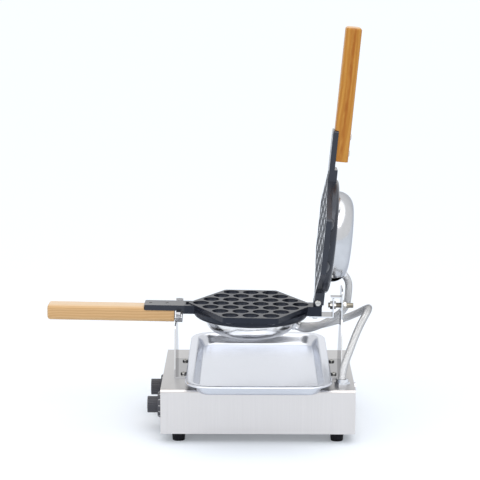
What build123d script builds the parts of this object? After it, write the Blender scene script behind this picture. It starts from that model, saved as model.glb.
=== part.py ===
from build123d import *
import math
import os

# Bubble waffle maker, millimetres. Origin on the floor under the middle of the base box.
# +Z up, -X the front with the knobs and handles, +X the rear with the swivel.

# Base box, folded sheet
base_length = 300.0
base_width = 252.0
base_height = 70.0
base_sheet = 1.2
base_edge_radius = 5.0
front_return = 11.0
lip_width = 12.0
panel_gap = 0.1
turn_gap = 0.3
running_gap = 0.05
bottom_screw_pitch = 120.0

# Feet
foot_height = 16.0
foot_top_radius = 11.0
foot_bottom_radius = 9.5
foot_inset_x = 27.0
foot_inset_y = 24.0

# Drip tray
tray_length = 350.0
tray_width = 225.0
tray_height = 18.0
tray_sheet = 1.0
tray_rim = 12.0
tray_corner = 40.0
tray_centre_x = 1.0
tray_wall_slope = 28.0

# Pans: both are the same casting, set face to face
pan_x = -11.4
pan_rise = 107.4
pan_droop = 0.9
open_angle = 94.5
face_gap = 0.4
cell_pitch = 31.72
row_spacing = 27.47
row_count = 7
longest_row_count = 6
cell_radius = 13.0
cell_depth = 12.0
cell_wall = 2.2
cell_margin = 17.7
corner_round = 6.0
plate_depth = 8.5
skirt_radius = 91.0
skirt_round = 6.5
pan_depth = 19.5
pan_back_wall = 15.2
pan_back_radius = 66.0

# Necks, tangs and hinge of the pans
neck_start = 78.0
front_neck_width = 36.0
front_neck_depth = 14.5
front_neck_end = 108.0
rear_neck_width = 32.0
rear_neck_end = 112.8
tang_top = 1.25
tang_depth = 8.5
tang_end = 169.0
latch_length = 4.5
latch_width = 19.0
latch_depth = 4.5
latch_x = 101.0
hinge_reach = 106.5
hinge_rise = 6.4
knuckle_radius = 7.0
lug_half_width = 8.5
pin_radius = 3.0

# Wooden handles
handle_start = 121.3
lower_handle_length = 202.0
upper_handle_length = 209.5
handle_width = 34.0
handle_top = 4.2
handle_depth = 25.0
handle_round = 7.0
handle_screw_places = (133.6, 159.6)
handle_screw_radius = 2.5
handle_screw_seat = 28.0
screw_seat_radius = 5.2

# Heater, its clamps and the cover of each pan
heater_ring_radius = 50.0
heater_tube_radius = 4.25
heater_sweep = 310.0
heater_cold_end = 10.0
clamp_ring = 36.0
clamp_boss_radius = 5.0
clamp_length = 25.0
clamp_width = 12.0
clamp_sheet = 2.0
clamp_turns = (60.0, 180.0, 300.0)
cover_radius = 72.0
cover_wall = 2.0
cover_round = 25.0
cover_sheet = 1.2
cover_flange = 3.5
cover_lug_reach = 80.0
cover_lug_width = 10.0
cover_screw_ring = 75.8
cover_screw_angles = (45.0, 135.0, 225.0, 315.0)
arch_width = 20.0
arch_depth = 16.5
arch_sill = 0.6
arch_angle_lid = 153.0
arch_angle_lower = 112.0
earth_stud_ring = 58.0
earth_stud_length = 17.0
earth_nut_flats = 11.0
earth_nut_height = 8.0
cover_gland_tilt_lid = 45.0
cover_gland_tilt_lower = 30.0
cover_gland_angles_lower = (150.0, 172.0)
cover_gland_angle_lid = 202.0
cover_gland_flats = 15.0
cover_gland_height = 9.0
cover_thread_radius = 4.5

# Swivel strap and axle at the rear
strap_sheet = 2.0
strap_width = 34.0
strap_start = 93.0
leg_reach = 130.0
leg_top = 14.5
leg_far_half = 14.4
strap_screw_x = 102.4
strap_screw_pitch = 16.0
stud_radius = 4.0
stud_start = 123.4
stud_length = 40.0
nut_flats = 12.0
nut_height = 3.6
upright_reach = 143.4
bush_radius = 6.5
bush_flange_radius = 8.5
bush_flange = 1.0
washer_radius = 8.0
washer_sheet = 1.6
end_nut_gap = 0.4

# Uprights
upright_sheet = 2.0
upright_half_foot = 58.0
upright_foot_run = 23.0
rear_top_half = 24.0
rear_top = 29.0
rear_shoulder = 18.0
upright_screw_half_pitch = 39.0
upright_screw_inset = 12.0
upright_corner = 8.0
stop_tab_rise = 15.0
stop_tab_length = 17.0
stop_tab_near = 17.0
stop_tab_width = 14.0
front_upright_x = -131.5
front_top_half = 36.0
front_top = 165.0

# Cradle of the front upright and the runner that turns in it
cradle_radius = 30.0
cradle_sheet = 1.5
cradle_width = 11.5
cradle_flange_radius = 23.5
cradle_near_angle = 52.0
cradle_far_angle = 90.0
runner_start = 111.0
runner_width = 7.0

# Hoses and the gland on the base
hose_radius = 5.75
gland_inset_x = 19.3
gland_inset_y = 29.5
gland_flats = 20.7
gland_nut_height = 11.0
gland_thread_radius = 8.0
locknut_height = 4.0
gland_thread_drop = 9.0

# Knobs and the works behind them
knob_height = 41.5
near_knob_y = -51.3
far_knob_y = 51.3
knob_radius = 13.0
knob_skirt_radius = 23.0
knob_skirt_depth = 7.5
knob_skirt_taper = 28.0
knob_reach = 24.0
knob_flute_count = 20
flute_radius = 1.1
shaft_radius = 3.0
shaft_length = 26.0
bush_thread_radius = 5.0
works_nut_flats = 14.0
works_nut_height = 2.4
works_bush_reach = 4.0
lamp_radius = 5.0
lamp_reach = 1.5
lamp_places = (-14.0, 8.0)
block_length = 30.0
block_width = 60.0
block_height = 20.0
block_inset = 50.0
block_y = 40.0

# Rear inlet for the mains lead
inlet_y = 70.0
inlet_z = 36.0
inlet_bore_radius = 4.5
inlet_flats = 19.0

os.makedirs("parts", exist_ok=True)

base_top = foot_height + base_height
half_length = base_length / 2
half_width = base_width / 2
gland_x = half_length - gland_inset_x
gland_y = gland_inset_y - half_width
inside_width = base_width - 2 * base_sheet - 2 * panel_gap
floor_plate = Plane.XY.offset(foot_height)
top_plane = Plane.XY.offset(base_top)
knob_places = (near_knob_y, far_knob_y)


def save(piece, name):
    piece.part.label = name
    export_step(piece.part, "parts/" + name + ".step")


# Frames of the two pans: x runs to the handle, z runs from the parting face into the casting
droop = math.radians(pan_droop)
lower_seat = Plane(
    origin=(pan_x, 0, base_top + pan_rise),
    x_dir=(-math.cos(droop), 0, math.sin(droop)),
    z_dir=(-math.sin(droop), 0, -math.cos(droop)),
)
lean = math.radians(open_angle + pan_droop - 90)
lid_x = Vector(math.sin(lean), 0, math.cos(lean))
lid_z = Vector(math.cos(lean), 0, -math.sin(lean))
hinge_point = lower_seat.from_local_coords(Vector(-hinge_reach, 0, -hinge_rise))
lid_hinge_depth = hinge_rise - face_gap
lid_seat = Plane(origin=hinge_point + lid_x * hinge_reach - lid_z * lid_hinge_depth, x_dir=lid_x, z_dir=lid_z)


# Section down the middle of a pan: its x runs to the handle, its y into the casting
def section(seat):
    return Plane(origin=seat.origin, x_dir=seat.x_dir, z_dir=-seat.y_dir)


# Plane square to a pan's length, facing the handle: its x is the pan's -y, its y points out of the face
def across(seat, x):
    return Plane(origin=seat.from_local_coords(Vector(x, 0, 0)), x_dir=-seat.y_dir, z_dir=seat.x_dir)


# Plane on a pan at a point, facing into the casting or out of it
def spot(seat, x, y, depth, side=1):
    return Plane(origin=seat.from_local_coords(Vector(x, y, depth)), x_dir=seat.x_dir, z_dir=seat.z_dir * side)


def on_ring(radius, angle):
    return radius * math.cos(math.radians(angle)), radius * math.sin(math.radians(angle))


# Fasteners are drawn once with the seat of the head at zero and the head upwards
def screw(radius, head_radius, head_height, length):
    with BuildPart() as piece:
        Cylinder(head_radius, head_height, align=(Align.CENTER, Align.CENTER, Align.MIN))
        fillet(edges().sort_by(Axis.Z)[-1], head_height * 0.55)
        Cylinder(radius, length, align=(Align.CENTER, Align.CENTER, Align.MAX))
        with BuildSketch(Plane.XY.offset(head_height)):
            Rectangle(head_radius * 1.1, head_radius * 0.22)
            Rectangle(head_radius * 0.22, head_radius * 1.1)
        extrude(amount=-head_height * 0.45, mode=Mode.SUBTRACT)
    return piece


def nut(flats, height, bore):
    with BuildPart() as piece:
        with BuildSketch():
            RegularPolygon(flats / 2, 6, major_radius=False)
            Circle(bore, mode=Mode.SUBTRACT)
        extrude(amount=height)
        with BuildSketch():
            Circle(flats * 0.56)
        extrude(amount=height, taper=-0.01, mode=Mode.INTERSECT)
    return piece


def placed(piece, planes):
    with BuildPart() as group:
        with Locations(*[plane.location for plane in planes]):
            add(piece.part)
    return group


# Base box: top and long sides folded from one sheet
with BuildPart() as base_casing:
    with BuildSketch(Plane.YZ.offset(-half_length)):
        with Locations((0, foot_height + base_height / 2)):
            Rectangle(base_width, base_height)
        fillet(vertices().group_by(Axis.Y)[-1], base_edge_radius)
    extrude(amount=base_length)
    with BuildSketch(Plane.YZ.offset(-half_length)):
        with Locations((0, foot_height + (base_height - base_sheet) / 2)):
            Rectangle(base_width - 2 * base_sheet, base_height - base_sheet)
        fillet(vertices().group_by(Axis.Y)[-1], base_edge_radius - base_sheet)
    extrude(amount=base_length, mode=Mode.SUBTRACT)
    # Lips along the bottom of the sides
    with BuildSketch(Plane.XY.offset(foot_height + base_sheet)):
        for side in (-1, 1):
            with Locations((0, side * (half_width - base_sheet / 2 - lip_width / 2))):
                Rectangle(base_length - 4 * front_return, lip_width + base_sheet)
    extrude(amount=base_sheet)
    # The front panel's returns take the place of the sides at the front
    with BuildSketch(floor_plate):
        with Locations((-half_length + front_return / 2, 0)):
            Rectangle(front_return, base_width)
    extrude(amount=base_height - base_edge_radius, mode=Mode.SUBTRACT)
    with BuildSketch(top_plane):
        with Locations((gland_x, gland_y)):
            Circle(gland_thread_radius)
    extrude(amount=-base_sheet, mode=Mode.SUBTRACT)
    # Holes of the upright screws and of the bottom screws
    rear_screw_x = pan_x + upright_reach - upright_screw_inset
    front_screw_x = front_upright_x + upright_sheet + upright_screw_inset
    with BuildSketch(top_plane):
        for x in (front_screw_x, rear_screw_x):
            with Locations((x, upright_screw_half_pitch), (x, -upright_screw_half_pitch)):
                Circle(2.5)
    extrude(amount=-base_sheet, mode=Mode.SUBTRACT)
    with BuildSketch(Plane.XY.offset(foot_height + base_sheet)):
        with GridLocations(bottom_screw_pitch, base_width - 2 * lip_width, 2, 2):
            Circle(2)
    extrude(amount=base_sheet, mode=Mode.SUBTRACT)

with BuildPart() as front_panel:
    with BuildSketch(Plane.YZ.offset(-half_length)):
        with Locations((0, foot_height + (base_height - base_sheet - panel_gap) / 2)):
            Rectangle(inside_width, base_height - base_sheet - panel_gap)
        fillet(vertices().group_by(Axis.Y)[-1], base_edge_radius - base_sheet)
        with Locations((0, foot_height + (base_height - base_edge_radius - panel_gap) / 2)):
            Rectangle(base_width, base_height - base_edge_radius - panel_gap)
    extrude(amount=base_sheet)
    with BuildSketch(floor_plate):
        for side in (-1, 1):
            with Locations((-half_length + front_return / 2, side * (half_width - base_sheet / 2))):
                Rectangle(front_return - panel_gap, base_sheet)
    extrude(amount=base_height - base_edge_radius - panel_gap)
    with BuildSketch(Plane.YZ.offset(-half_length)):
        with Locations(*[(y, knob_height) for y in knob_places]):
            Circle(bush_thread_radius)
        with Locations(*[(y, knob_height) for y in lamp_places]):
            Circle(lamp_radius)
    extrude(amount=base_sheet, mode=Mode.SUBTRACT)

with BuildPart() as rear_panel:
    with BuildSketch(Plane.YZ.offset(half_length)):
        with Locations((0, foot_height + (base_height - base_sheet - panel_gap) / 2)):
            Rectangle(inside_width, base_height - base_sheet - panel_gap)
        fillet(vertices().group_by(Axis.Y)[-1], base_edge_radius - base_sheet)
        with Locations((inlet_y, inlet_z)):
            Circle(gland_thread_radius, mode=Mode.SUBTRACT)
    extrude(amount=-base_sheet)

foot_places = [
    (x, y)
    for x in (-half_length + foot_inset_x, half_length - foot_inset_x)
    for y in (-half_width + foot_inset_y, half_width - foot_inset_y)
]
with BuildPart() as bottom_plate:
    with BuildSketch(floor_plate):
        Rectangle(base_length - 2 * base_sheet - 2 * panel_gap, inside_width)
        with Locations(*foot_places):
            Circle(2, mode=Mode.SUBTRACT)
        with GridLocations(bottom_screw_pitch, base_width - 2 * lip_width, 2, 2):
            Circle(2, mode=Mode.SUBTRACT)
    extrude(amount=base_sheet)

with BuildPart() as rubber_feet:
    with Locations(*[(x, y, 0) for x, y in foot_places]):
        Cone(foot_bottom_radius, foot_top_radius, foot_height, align=(Align.CENTER, Align.CENTER, Align.MIN))
        Cylinder(5.5, foot_height / 2, align=(Align.CENTER, Align.CENTER, Align.MIN), mode=Mode.SUBTRACT)
        Cylinder(2, foot_height, align=(Align.CENTER, Align.CENTER, Align.MIN), mode=Mode.SUBTRACT)

down = [Plane(origin=(x, y, foot_height / 2), x_dir=(1, 0, 0), z_dir=(0, 0, -1)) for x, y in foot_places]
foot_screws = placed(screw(2, 4, 2.6, foot_height / 2 + 4), down)
bottom_places = [
    Plane(origin=(x, y, foot_height), x_dir=(1, 0, 0), z_dir=(0, 0, -1))
    for x in (-bottom_screw_pitch / 2, bottom_screw_pitch / 2)
    for y in (-half_width + lip_width, half_width - lip_width)
]
bottom_screws = placed(screw(2, 3.8, 2.4, 6), bottom_places)

save(base_casing, "base_casing")
save(front_panel, "front_panel")
save(rear_panel, "rear_panel")
save(bottom_plate, "bottom_plate")
save(rubber_feet, "rubber_feet")
save(foot_screws, "foot_screws")
save(bottom_screws, "bottom_screws")


# Thermostat and timer behind the front panel
def works(y, size, depth):
    panel_back = -half_length + base_sheet
    with BuildPart() as piece:
        with BuildSketch(Plane.YZ.offset(panel_back)):
            with Locations((y, knob_height)):
                RectangleRounded(size, size, 3)
        extrude(amount=depth)
        with BuildSketch(Plane.YZ.offset(panel_back)):
            with Locations((y, knob_height)):
                Circle(bush_thread_radius)
        extrude(amount=-base_sheet - works_bush_reach)
        with BuildSketch(Plane.YZ.offset(panel_back - base_sheet - works_bush_reach)):
            with Locations((y, knob_height)):
                Circle(shaft_radius + running_gap)
        extrude(amount=works_bush_reach + depth / 2, mode=Mode.SUBTRACT)
    return piece


knob_planes = [Plane(origin=(-half_length, y, knob_height), x_dir=(0, 1, 0), z_dir=(-1, 0, 0)) for y in knob_places]
save(works(near_knob_y, 38, 26), "thermostat_body")
save(works(far_knob_y, 44, 34), "timer_body")
save(placed(nut(works_nut_flats, works_nut_height, bush_thread_radius), knob_planes), "works_nuts")


def shaft(y):
    with BuildPart() as piece:
        with BuildSketch(Plane.YZ.offset(-half_length - knob_reach + 4)):
            with Locations((y, knob_height)):
                Circle(shaft_radius)
        extrude(amount=shaft_length)
        with BuildSketch(Plane.YZ.offset(-half_length - knob_reach + 4)):
            with Locations((y, knob_height + 2 * shaft_radius - 1)):
                Rectangle(2 * shaft_radius, 2 * shaft_radius)
        extrude(amount=9, mode=Mode.SUBTRACT)
    return piece


save(shaft(near_knob_y), "thermostat_shaft")
save(shaft(far_knob_y), "timer_shaft")


def knob(plane):
    with BuildPart() as piece:
        with BuildSketch(plane.offset(turn_gap)):
            Circle(knob_skirt_radius)
        extrude(amount=knob_skirt_depth, taper=knob_skirt_taper)
        with BuildSketch(plane.offset(turn_gap)):
            Circle(knob_radius)
            with PolarLocations(knob_radius + flute_radius * 0.4, knob_flute_count):
                Circle(flute_radius, mode=Mode.SUBTRACT)
        extrude(amount=knob_reach - turn_gap)
        with BuildSketch(plane.offset(knob_reach)):
            with Locations((0, knob_radius - 4)):
                Rectangle(1.6, 6)
        extrude(amount=-0.6, mode=Mode.SUBTRACT)
        # Room for the nut and the threaded bush, then the bore of the shaft
        with BuildSketch(plane.offset(turn_gap)):
            Circle(works_nut_flats * 0.64)
        extrude(amount=works_bush_reach + 1, mode=Mode.SUBTRACT)
        with BuildSketch(plane):
            Circle(shaft_radius)
            with Locations((0, 2 * shaft_radius - 1)):
                Rectangle(2 * shaft_radius, 2 * shaft_radius, mode=Mode.SUBTRACT)
        extrude(amount=knob_reach - 4, mode=Mode.SUBTRACT)
        with BuildSketch(plane):
            Circle(shaft_radius)
        extrude(amount=knob_reach - 4 - 9, mode=Mode.SUBTRACT)
    return piece


knob_turn = [Plane(origin=plane.origin, x_dir=(0, -1, 0), z_dir=(-1, 0, 0)) for plane in knob_planes]
save(knob(knob_turn[0]), "thermostat_knob")
save(knob(knob_turn[1]), "timer_knob")

with BuildPart() as pilot_lamps:
    with Locations(*[(-half_length, y, knob_height) for y in lamp_places]):
        Cylinder(lamp_radius, 16, rotation=(0, 90, 0), align=(Align.CENTER, Align.CENTER, Align.MIN))
        Cylinder(lamp_radius + 1.5, lamp_reach, rotation=(0, 90, 0), align=(Align.CENTER, Align.CENTER, Align.MAX))
    fillet(edges().group_by(Axis.X)[0], 0.8)
save(pilot_lamps, "pilot_lamps")

with BuildPart() as terminal_block:
    with BuildSketch(Plane.XY.offset(foot_height + base_sheet)):
        with Locations((half_length - block_inset, block_y)):
            Rectangle(block_length, block_width)
    extrude(amount=block_height)
    with BuildSketch(Plane.XY.offset(foot_height + base_sheet + block_height)):
        with Locations((half_length - block_inset, block_y)):
            with GridLocations(block_length / 2, block_width / 5, 2, 4):
                Circle(3)
    extrude(amount=-block_height / 2, mode=Mode.SUBTRACT)
save(terminal_block, "terminal_block")


# Cable gland body: a hexagon above the sheet, a thread through it and a bore right through
def gland(plane, flats, height, thread, drop, bore):
    with BuildPart() as piece:
        with BuildSketch(plane):
            RegularPolygon(flats / 2, 6, major_radius=False)
        extrude(amount=height * 0.55)
        with BuildSketch(plane.offset(height * 0.55)):
            Circle(flats / 2 - 0.6)
        extrude(amount=height * 0.45, taper=8)
        with BuildSketch(plane):
            Circle(thread)
        extrude(amount=-drop)
        with BuildSketch(plane.offset(height)):
            Circle(bore)
        extrude(amount=-height - drop, mode=Mode.SUBTRACT)
    return piece


gland_plane = Plane.XY.move(Location((gland_x, gland_y, base_top)))
save(gland(gland_plane, gland_flats, gland_nut_height, gland_thread_radius, gland_thread_drop, 4.5), "base_gland")
under_top = Plane.XY.move(Location((gland_x, gland_y, base_top - base_sheet - locknut_height)))
save(placed(nut(gland_flats, locknut_height, gland_thread_radius), [under_top]), "base_gland_nut")
inlet_plane = Plane(origin=(half_length, inlet_y, inlet_z), x_dir=(0, 1, 0), z_dir=(1, 0, 0))
save(gland(inlet_plane, inlet_flats, 12, gland_thread_radius, 8, inlet_bore_radius), "inlet_gland")


# Drip tray: raised rim, sloping walls and a flat floor
def tray_block(plane, depth, shrink):
    with BuildSketch(plane) as outline:
        with Locations((tray_centre_x, 0)):
            RectangleRounded(
                tray_width - 2 * tray_rim - 2 * shrink,
                tray_length - 2 * tray_rim - 2 * shrink,
                tray_corner - tray_rim - shrink,
            )
    return extrude(outline.sketch, amount=-depth, taper=tray_wall_slope, mode=Mode.PRIVATE)


with BuildPart() as drip_tray:
    rim_plane = Plane.XY.offset(base_top + tray_height)
    with BuildSketch(rim_plane):
        with Locations((tray_centre_x, 0)):
            RectangleRounded(tray_width, tray_length, tray_corner)
    extrude(amount=-tray_sheet)
    add(tray_block(rim_plane, tray_height, 0))
    add(tray_block(rim_plane, tray_height - tray_sheet, tray_sheet * 1.1), mode=Mode.SUBTRACT)
    with BuildSketch(rim_plane):
        with Locations((tray_centre_x, 0)):
            RectangleRounded(tray_width, tray_length, tray_corner)
            offset(amount=-tray_sheet * 1.4, mode=Mode.SUBTRACT)
    extrude(amount=-tray_sheet * 2.8)
save(drip_tray, "drip_tray")


# Pan castings
def cell_centres():
    places = []
    for row in range(row_count):
        step = row - (row_count - 1) / 2
        count = longest_row_count - abs(int(step))
        for cell in range(count):
            places.append(((cell - (count - 1) / 2) * cell_pitch, step * row_spacing))
    return places


# The outline keeps one margin round the hexagon of the outer cell centres
def hexagon_corners():
    rows_half = (row_count - 1) / 2
    side = (longest_row_count - rows_half - 1) / 2 * cell_pitch
    point = (longest_row_count - 1) / 2 * cell_pitch
    top = rows_half * row_spacing
    slope = math.atan2(top, point - side)
    reach = point + cell_margin / math.sin(slope)
    flat = top + cell_margin
    flat_x = reach - flat / math.tan(slope)
    return [(reach, 0), (flat_x, flat), (-flat_x, flat), (-reach, 0), (-flat_x, -flat), (flat_x, -flat)]


def plate_outline(seat):
    with BuildSketch(seat) as outline:
        with BuildLine():
            Polyline(*hexagon_corners(), close=True)
        make_face()
        fillet(vertices(), corner_round)
    return outline.sketch


def bar_outline(seat, start, end, width, depth=0.0):
    with BuildSketch(seat.offset(depth)) as outline:
        with Locations(((start + end) / 2, 0)):
            Rectangle(abs(end - start), width)
    return outline.sketch


def lug_outline(seat):
    with BuildSketch(section(seat)) as outline:
        with Locations((-hinge_reach, -hinge_rise)):
            Circle(knuckle_radius)
        with Locations((-hinge_reach, -hinge_rise / 2 + 1)):
            Rectangle(2 * knuckle_radius, hinge_rise + 2)
    return outline.sketch


# What is cut off the end of the lid's neck: round in front, slanted behind
def ear_cut(seat):
    end = -hinge_reach - lid_hinge_depth
    with BuildSketch(section(seat)) as outline:
        with Locations((-hinge_reach - lid_hinge_depth, 0)):
            Rectangle(2 * lid_hinge_depth, 2 * lid_hinge_depth)
        with Locations((-hinge_reach, lid_hinge_depth)):
            Circle(lid_hinge_depth, mode=Mode.SUBTRACT)
        with BuildLine():
            Polyline((end, 9), (end + 4, rear_neck_depth + 1), (end - 2, rear_neck_depth + 1), (end - 2, 9), close=True)
        make_face()
    return outline.sketch


def pin_outline(seat, depth, radius):
    with BuildSketch(section(seat)) as outline:
        with Locations((-hinge_reach, depth)):
            Circle(radius)
    return outline.sketch


rear_neck_depth = pan_back_wall
sphere_radius = (cell_radius**2 + cell_depth**2) / (2 * cell_depth)


def casting(seat, is_lid, arch_angle):
    clamp_angles = [arch_angle + turn for turn in clamp_turns]
    sphere_centre = cell_depth - sphere_radius
    centres = [seat.from_local_coords(Vector(x, y, sphere_centre)) for x, y in cell_centres()]
    with BuildPart() as pan:
        with BuildSketch(seat.offset(plate_depth)):
            Circle(skirt_radius)
        extrude(amount=pan_depth - plate_depth)
        back_rim = edges().filter_by(GeomType.CIRCLE).sort_by(Axis(seat.origin, seat.z_dir))[-1]
        fillet(back_rim, skirt_round)
        # Backs of the cells, then everything in front of the parting face is cut away
        with Locations(*centres):
            Sphere(sphere_radius + cell_wall)
        with BuildSketch(seat):
            Circle(2 * skirt_radius)
        extrude(amount=-2 * sphere_radius, mode=Mode.SUBTRACT)
        extrude(plate_outline(seat), amount=plate_depth)
        front_neck = bar_outline(seat, neck_start, front_neck_end, front_neck_width, tang_top)
        extrude(front_neck, amount=front_neck_depth - tang_top)
        rear_end = hinge_reach + lid_hinge_depth if is_lid else rear_neck_end
        extrude(bar_outline(seat, -neck_start, -rear_end, rear_neck_width), amount=rear_neck_depth)
        extrude(bar_outline(seat, neck_start + 20, tang_end, front_neck_width, tang_top), amount=tang_depth)
        tang_edges = edges().filter_by(Axis(seat.origin, seat.z_dir)).sort_by(Axis(seat.origin, seat.x_dir))[-2:]
        fillet(tang_edges, 3)
        # Hinge
        if is_lid:
            extrude(ear_cut(seat), amount=rear_neck_width, both=True, mode=Mode.SUBTRACT)
            slot_start = -hinge_reach + knuckle_radius + 0.5
            slot = bar_outline(seat, slot_start, slot_start - 30, 2 * (lug_half_width + turn_gap))
            extrude(slot, amount=rear_neck_depth, mode=Mode.SUBTRACT)
            bore = pin_outline(seat, lid_hinge_depth, pin_radius)
        else:
            extrude(lug_outline(seat), amount=lug_half_width, both=True)
            bore = pin_outline(seat, -hinge_rise, pin_radius + running_gap)
        extrude(bore, amount=rear_neck_width, both=True, mode=Mode.SUBTRACT)
        # Cells
        with Locations(*centres):
            Sphere(sphere_radius, mode=Mode.SUBTRACT)
        # Recess of the heater with the bosses of its clamps
        clamp_places = [on_ring(clamp_ring, angle) for angle in clamp_angles]
        with BuildSketch(seat.offset(pan_back_wall)):
            Circle(pan_back_radius)
        extrude(amount=pan_depth, mode=Mode.SUBTRACT)
        with BuildSketch(seat.offset(pan_back_wall)):
            with Locations(*clamp_places):
                Circle(clamp_boss_radius)
        extrude(amount=2 * heater_tube_radius)
        with BuildSketch(seat.offset(pan_back_wall + 2 * heater_tube_radius)):
            with Locations(*clamp_places):
                Circle(2)
        extrude(amount=-7, mode=Mode.SUBTRACT)
        with BuildSketch(seat.offset(pan_back_wall)):
            with Locations(on_ring(earth_stud_ring, arch_angle)):
                Circle(2)
        extrude(amount=-2, mode=Mode.SUBTRACT)
        with BuildSketch(seat.offset(pan_depth)):
            with Locations(*[on_ring(cover_screw_ring, angle) for angle in cover_screw_angles]):
                Circle(1.5)
        extrude(amount=-6, mode=Mode.SUBTRACT)
        # Latch pocket and the holes of the handle screws
        with BuildSketch(seat):
            with Locations((latch_x, 0)):
                Rectangle(latch_length, latch_width)
        extrude(amount=latch_depth, mode=Mode.SUBTRACT)
        with BuildSketch(seat):
            with Locations(*[(x, 0) for x in handle_screw_places]):
                Circle(handle_screw_radius)
        extrude(amount=20, mode=Mode.SUBTRACT)
        if not is_lid:
            with BuildSketch(seat.offset(rear_neck_depth)):
                with Locations(*[(-strap_screw_x, side * strap_screw_pitch / 2) for side in (-1, 1)]):
                    Circle(2.5)
            extrude(amount=-10, mode=Mode.SUBTRACT)
    return pan


def handle(seat, length):
    middle = handle_top + handle_depth / 2
    with BuildPart() as grip:
        with BuildSketch(across(seat, handle_start)):
            with Locations((0, -middle)):
                RectangleRounded(handle_width, handle_depth, handle_round)
        extrude(amount=length)
        end = faces().sort_by(Axis(seat.origin, seat.x_dir))[-1]
        fillet(end.edges(), handle_round - 2)
        # The tang lies in a step of the handle
        step = bar_outline(seat, handle_start - 1, tang_end + 2 * turn_gap, 2 * handle_width, 0)
        extrude(step, amount=tang_top + tang_depth, mode=Mode.SUBTRACT)
        with BuildSketch(seat):
            with Locations(*[(x, 0) for x in handle_screw_places]):
                Circle(handle_screw_radius)
        extrude(amount=40, mode=Mode.SUBTRACT)
        with BuildSketch(seat.offset(handle_screw_seat)):
            with Locations(*[(x, 0) for x in handle_screw_places]):
                Circle(screw_seat_radius)
        extrude(amount=10, mode=Mode.SUBTRACT)
    return grip


def heater(seat, arch_angle):
    centre_depth = pan_back_wall + heater_tube_radius
    start = arch_angle + (360 - heater_sweep) / 2
    ends = [on_ring(heater_ring_radius, angle) for angle in (start, start + heater_sweep)]
    with BuildPart() as piece:
        with BuildLine(seat.offset(centre_depth)) as path:
            CenterArc((0, 0), heater_ring_radius, start, heater_sweep)
        with BuildSketch(Plane(origin=path.line @ 0, z_dir=path.line % 0)):
            Circle(heater_tube_radius)
        sweep(path=path.line)
        with Locations(*[spot(seat, x, y, centre_depth).location for x, y in ends]):
            Sphere(heater_tube_radius)
            Cylinder(heater_tube_radius - 0.5, heater_cold_end, align=(Align.CENTER, Align.CENTER, Align.MIN))
    return piece


def clamps(seat, arch_angle):
    depth = pan_back_wall + 2 * heater_tube_radius
    with BuildPart() as piece:
        with BuildSketch(seat.offset(depth)):
            for turn in clamp_turns:
                place = on_ring(clamp_ring + clamp_length / 2 - 7, arch_angle + turn)
                with Locations(Location((place[0], place[1], 0), (0, 0, arch_angle + turn))):
                    Rectangle(clamp_length, clamp_width)
                with Locations(on_ring(clamp_ring, arch_angle + turn)):
                    Circle(2, mode=Mode.SUBTRACT)
        extrude(amount=clamp_sheet)
    places = [spot(seat, *on_ring(clamp_ring, arch_angle + turn), depth + clamp_sheet) for turn in clamp_turns]
    return piece, placed(screw(2, 3.6, 2.4, 8), places)


# Domed cover over the back of a pan
cover_shoulder = pan_depth + cover_wall
cover_top = cover_shoulder + cover_round
arc_centre = cover_radius - cover_round


def shoulder_plane(seat, angle, tilt, lift=0.0):
    reach = arc_centre + (cover_round + lift) * math.cos(math.radians(tilt))
    depth = cover_shoulder + (cover_round + lift) * math.sin(math.radians(tilt))
    x, y = on_ring(reach, angle)
    out_x, out_y = on_ring(math.cos(math.radians(tilt)), angle)
    middle = seat.from_local_coords(Vector(0, 0, 0))
    outwards = seat.from_local_coords(Vector(out_x, out_y, math.sin(math.radians(tilt)))) - middle
    return Plane(origin=seat.from_local_coords(Vector(x, y, depth)), z_dir=outwards)


def cover_section(seat):
    inner = cover_round - cover_sheet
    slant = math.sqrt(0.5)
    with BuildSketch(section(seat)) as outline:
        with BuildLine():
            Line((0, cover_top), (arc_centre, cover_top))
            ThreePointArc(
                (arc_centre, cover_top),
                (arc_centre + cover_round * slant, cover_shoulder + cover_round * slant),
                (cover_radius, cover_shoulder),
            )
            Polyline(
                (cover_radius, cover_shoulder),
                (cover_radius, pan_depth + cover_sheet),
                (cover_radius + cover_flange, pan_depth + cover_sheet),
                (cover_radius + cover_flange, pan_depth),
                (cover_radius - cover_sheet, pan_depth),
                (cover_radius - cover_sheet, cover_shoulder),
            )
            ThreePointArc(
                (cover_radius - cover_sheet, cover_shoulder),
                (arc_centre + inner * slant, cover_shoulder + inner * slant),
                (arc_centre, cover_top - cover_sheet),
            )
            Line((arc_centre, cover_top - cover_sheet), (0, cover_top - cover_sheet))
            Line((0, cover_top - cover_sheet), (0, cover_top))
        make_face()
    return outline.sketch


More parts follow.
